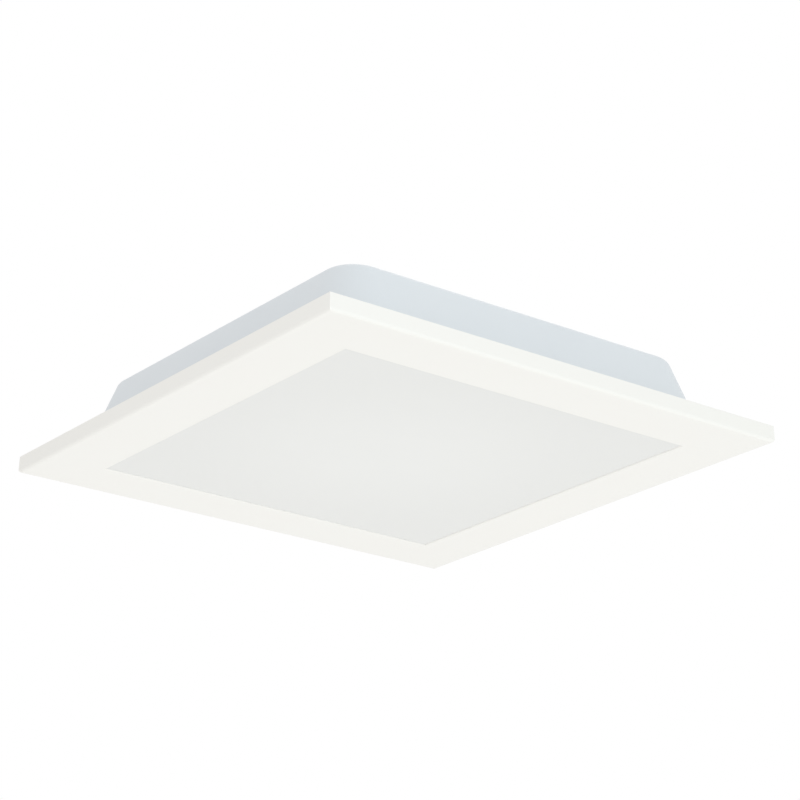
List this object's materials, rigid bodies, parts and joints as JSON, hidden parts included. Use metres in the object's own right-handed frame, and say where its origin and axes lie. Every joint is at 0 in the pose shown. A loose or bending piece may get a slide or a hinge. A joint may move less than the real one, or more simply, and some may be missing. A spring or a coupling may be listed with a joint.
{
  "type": "recessed led panel light",
  "caption": "Square recessed LED panel light: flat frame round an opal diffuser, deep tapered rear pan, driver case with hinged connection cover, and two sprung ceiling clips.",
  "frame": {"origin": "centre of the front face, the face that shows below the ceiling", "axes": "+Z from the front face to the rear, into the ceiling; the two spring clips lie on the -Y and +Y sides, and the driver case on the -X side"},
  "size_m": [0.2248, 0.2248, 0.0592],
  "materials": {
    "frame_plastic": "fine satin moulded polycarbonate, warm white",
    "opal_plastic": "matt opal polystyrene",
    "pan_plastic": "satin moulded polycarbonate, cool white",
    "reflector_white": "matt highly reflecting white",
    "case_plastic": "fine eroded moulded plastic, pale grey",
    "lens_plastic": "clear moulded acrylic",
    "phosphor": "diode phosphor",
    "board_white": "white solder mask on aluminium",
    "board_green": "green solder mask on glass-fibre board",
    "sheet_aluminium": "rolled sheet",
    "thermal_pad": "soft tape",
    "zinc_steel": "bright zinc plate",
    "spring_steel": "drawn spring steel",
    "soft_rubber": "matt moulded rubber",
    "foam_seal": "closed-cell foam",
    "black_plastic": "moulded black epoxy or nylon",
    "winding_tape": "yellow polyester tape",
    "can_sleeve": "shrunk sleeve on aluminium can",
    "ceramic_tube": "unglazed ceramic",
    "terminal_plastic": "polycarbonate, pale grey",
    "wire_sleeve": "wire insulation"
  },
  "bodies": {
    "light": {"front_frame": "frame_plastic", "diffuser": "opal_plastic", "diffuser_seal": "foam_seal", "reflector_tray": "reflector_white", "tray_screws": "zinc_steel", "led_lenses": "lens_plastic", "led_chips": "phosphor", "led_strips": "board_white", "strip_links": "wire_sleeve", "strip_connector": "terminal_plastic", "thermal_tapes": "thermal_pad", "heat_spreader": "sheet_aluminium", "spreader_screws": "zinc_steel", "rear_pan": "pan_plastic", "pan_seal": "foam_seal", "pan_screws": "zinc_steel", "driver_case": "case_plastic", "driver_cover": "case_plastic", "cover_screws": "zinc_steel", "driver_screws": "zinc_steel", "driver_board": "board_green", "transformer": "winding_tape", "filter_choke": "black_plastic", "capacitors": "can_sleeve", "filter_capacitor": "winding_tape", "rectifier": "black_plastic", "power_transistor": "black_plastic", "fuse": "ceramic_tube", "output_socket": "terminal_plastic", "led_lead": "wire_sleeve", "lead_grommet": "soft_rubber", "supply_wires": "wire_sleeve", "terminal_block": "terminal_plastic", "cable_grommet": "soft_rubber", "cable_clamp": "case_plastic", "clamp_screws": "zinc_steel", "cover_hinge_pin": "spring_steel", "left_clip_bracket": "zinc_steel", "left_clip_pin": "spring_steel", "left_clip_spring": "spring_steel", "right_clip_bracket": "zinc_steel", "right_clip_pin": "spring_steel", "right_clip_spring": "spring_steel", "clip_screws": "zinc_steel"},
    "left_clip": {"left_clip_arm": "zinc_steel", "left_clip_sleeve": "soft_rubber"},
    "right_clip": {"right_clip_arm": "zinc_steel", "right_clip_sleeve": "soft_rubber"},
    "connection_cover": {"terminal_cover": "case_plastic"},
    "lever_live": {"live_lever": "terminal_plastic"},
    "lever_neutral": {"neutral_lever": "terminal_plastic"}
  },
  "joints": [
    {"name": "left_clip_swing", "type": "hinge", "parent": "light", "child": "left_clip", "pos_m": [0, -0.066, 0.0441], "axis": [1, 0, 0], "range_deg": [0, 204], "deforming": ["left_clip_spring"]},
    {"name": "right_clip_swing", "type": "hinge", "parent": "light", "child": "right_clip", "pos_m": [0, 0.066, 0.0441], "axis": [-1, 0, 0], "range_deg": [0, 204], "deforming": ["right_clip_spring"]},
    {"name": "cover_swing", "type": "hinge", "parent": "light", "child": "connection_cover", "pos_m": [-0.0764, 0.0399, 0.057], "axis": [0, -1, 0], "range_deg": [0, 110]},
    {"name": "live_lever_tip", "type": "hinge", "parent": "light", "child": "lever_live", "pos_m": [-0.0502, 0.0355, 0.0472], "axis": [-1, 0, 0], "range_deg": [0, 80]},
    {"name": "neutral_lever_tip", "type": "hinge", "parent": "light", "child": "lever_neutral", "pos_m": [-0.0418, 0.0355, 0.0472], "axis": [-1, 0, 0], "range_deg": [0, 80]}
  ]
}
